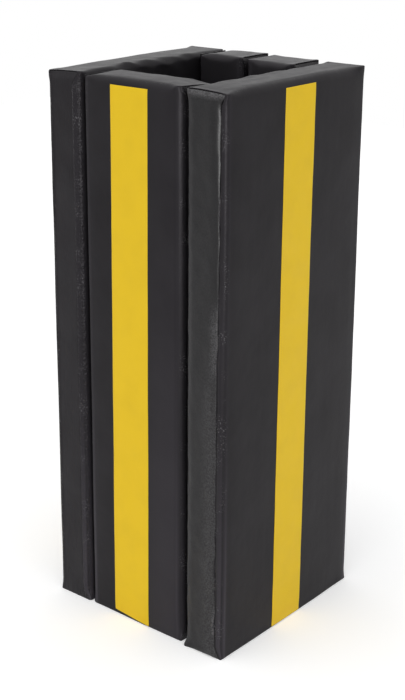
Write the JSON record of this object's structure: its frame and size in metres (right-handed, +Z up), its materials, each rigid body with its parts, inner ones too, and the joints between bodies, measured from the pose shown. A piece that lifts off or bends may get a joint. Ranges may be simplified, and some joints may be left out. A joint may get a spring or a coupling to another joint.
{
  "type": "column protector pad",
  "caption": "Foldable padded sleeve of black vinyl covered foam with yellow stripes that wraps and guards a square column.",
  "frame": {"origin": "on the floor, under the middle of the closed pad", "axes": "+Z up; -Y out of the front pad; +X towards the right pad, which opens like a door"},
  "size_m": [0.3648, 0.3544, 0.9144],
  "materials": {
    "black_vinyl": "satin black vinyl coated cloth with a fine grain",
    "yellow_vinyl": "satin safety yellow vinyl film",
    "foam": "open cell charcoal foam",
    "hook_tape": "black woven tape with stiff hooks",
    "loop_tape": "dark napped loop pile"
  },
  "bodies": {
    "left_pad": {"left_cover": "black_vinyl", "left_foam": "foam", "left_rear_end_panel": "black_vinyl", "left_front_end_panel": "black_vinyl", "left_stripe": "yellow_vinyl", "front_left_hinge_strip": "black_vinyl", "rear_left_hinge_strip": "black_vinyl"},
    "front_pad": {"front_cover": "black_vinyl", "front_foam": "foam", "front_left_end_panel": "black_vinyl", "front_right_end_panel": "black_vinyl", "front_stripe": "yellow_vinyl", "front_hook_tape": "hook_tape"},
    "right_pad": {"right_cover": "black_vinyl", "right_foam": "foam", "right_front_end_panel": "black_vinyl", "right_rear_end_panel": "black_vinyl", "right_stripe": "yellow_vinyl", "right_loop_tape": "loop_tape"},
    "rear_right_pad": {"rear_right_cover": "black_vinyl", "rear_right_foam": "foam", "rear_right_corner_end_panel": "black_vinyl", "rear_right_middle_end_panel": "black_vinyl", "rear_right_hinge_strip": "black_vinyl"},
    "rear_left_pad": {"rear_left_cover": "black_vinyl", "rear_left_foam": "foam", "rear_left_middle_end_panel": "black_vinyl", "rear_left_corner_end_panel": "black_vinyl", "rear_middle_hinge_strip": "black_vinyl"}
  },
  "joints": [
    {"name": "front_hinge", "type": "hinge", "parent": "left_pad", "child": "front_pad", "pos_m": [-0.1055, -0.17, 0.4572], "axis": [0, 0, 1], "range_deg": [-90, 0], "deforming": ["front_left_hinge_strip"]},
    {"name": "rear_left_hinge", "type": "hinge", "parent": "left_pad", "child": "rear_left_pad", "pos_m": [-0.1055, 0.1712, 0.4572], "axis": [0, 0, 1], "range_deg": [0, 90], "deforming": ["rear_left_hinge_strip"]},
    {"name": "rear_middle_hinge", "type": "hinge", "parent": "rear_left_pad", "child": "rear_right_pad", "pos_m": [-0.0055, 0.1697, 0.4572], "axis": [0, 0, 1], "range_deg": [0, 90], "deforming": ["rear_middle_hinge_strip"]},
    {"name": "rear_right_hinge", "type": "hinge", "parent": "rear_right_pad", "child": "right_pad", "pos_m": [0.1, 0.1682, 0.4572], "axis": [0, 0, 1], "range_deg": [-1.4, 90], "deforming": ["rear_right_hinge_strip"]}
  ]
}
